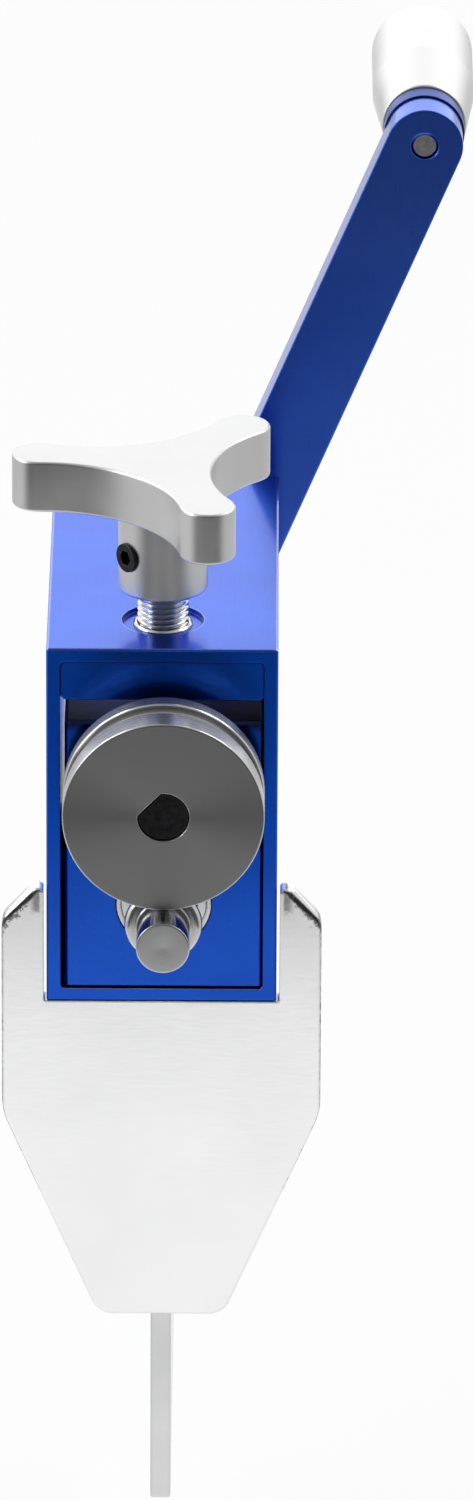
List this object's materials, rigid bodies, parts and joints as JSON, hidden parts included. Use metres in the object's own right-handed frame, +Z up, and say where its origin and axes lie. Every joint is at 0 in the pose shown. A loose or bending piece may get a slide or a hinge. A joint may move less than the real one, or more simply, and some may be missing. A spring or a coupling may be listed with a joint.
{
  "type": "tube beader",
  "caption": "Hand cranked bench tool with a stepped mandrel and a grooved roller lowered by a lobed knob, which rolls a bead into a tube end; clamped by a vise fin.",
  "frame": {"origin": "middle of the vise fin at the level of the jaw tops, which is the front plate's lower edge", "axes": "+X to the right across the tool, +Y from the roller at the front to the crank at the back, +Z up"},
  "size_m": [0.1028, 0.1934, 0.2936],
  "materials": {
    "blue_anodised": "satin blue anodised aluminium",
    "pale_anodised": "pale blue-grey anodised aluminium",
    "bracket_steel": "satin plated sheet steel",
    "weld_bead": "plated weld bead",
    "polished_steel": "turned and polished hardened steel",
    "bearing_steel": "ground bearing steel",
    "screw_steel": "bright zinc plated steel",
    "satin_aluminium": "bead blasted aluminium",
    "black_oxide": "black oxide steel"
  },
  "bodies": {
    "frame": {"housing_tube": "blue_anodised", "nut_block": "blue_anodised", "nut_block_screws": "black_oxide", "screw_collar": "screw_steel", "lower_block": "blue_anodised", "guide_pins": "polished_steel", "lower_bearing_outer_rings": "bearing_steel", "lower_bearing_balls": "bearing_steel", "bracket_front_plate": "bracket_steel", "bracket_saddle": "bracket_steel", "vise_fin": "bracket_steel", "bracket_welds": "weld_bead", "bracket_screws": "black_oxide", "bracket_washers": "screw_steel"},
    "slide": {"upper_block": "blue_anodised", "upper_bearing_outer_rings": "bearing_steel", "upper_bearing_balls": "bearing_steel", "screw_retaining_pins": "polished_steel"},
    "screw": {"adjusting_screw": "screw_steel", "knob": "satin_aluminium", "knob_set_screw": "black_oxide"},
    "roller": {"upper_roller": "polished_steel", "upper_shaft": "black_oxide", "roller_spacer": "polished_steel", "roller_set_screw": "black_oxide", "upper_bearing_inner_rings": "bearing_steel", "upper_shaft_circlip": "black_oxide"},
    "crank": {"mandrel_shaft": "polished_steel", "lower_bearing_inner_rings": "bearing_steel", "crank_spacer": "polished_steel", "crank_arm": "blue_anodised", "crank_end_washer": "screw_steel", "crank_end_screw": "black_oxide", "grip_spacer": "pale_anodised", "grip_bolt": "screw_steel"},
    "grip": {"grip": "satin_aluminium"}
  },
  "joints": [
    {"name": "block_slide", "type": "slide", "parent": "frame", "child": "slide", "axis": [0, 0, 1], "range_m": [0, 0.0045]},
    {"name": "knob_turn", "type": "hinge", "parent": "slide", "child": "screw", "pos_m": [0, -0.0318, 0.1758], "axis": [0, 0, 1], "range_deg": [0, 1276]},
    {"name": "roller_spin", "type": "hinge", "parent": "slide", "child": "roller", "pos_m": [0.00045, -0.0485, 0.12795], "axis": [0, 1, 0], "continuous": true},
    {"name": "crank_spin", "type": "hinge", "parent": "frame", "child": "crank", "pos_m": [0.00045, -0.0485, 0.099], "axis": [0, 1, 0], "continuous": true},
    {"name": "grip_spin", "type": "hinge", "parent": "crank", "child": "grip", "pos_m": [0.05679, 0.0715, 0.23369], "axis": [0, 1, 0], "continuous": true}
  ],
  "couplings": [
    {"joint": "knob_turn", "follows": "block_slide", "rad_per_m": 4947.4}
  ]
}
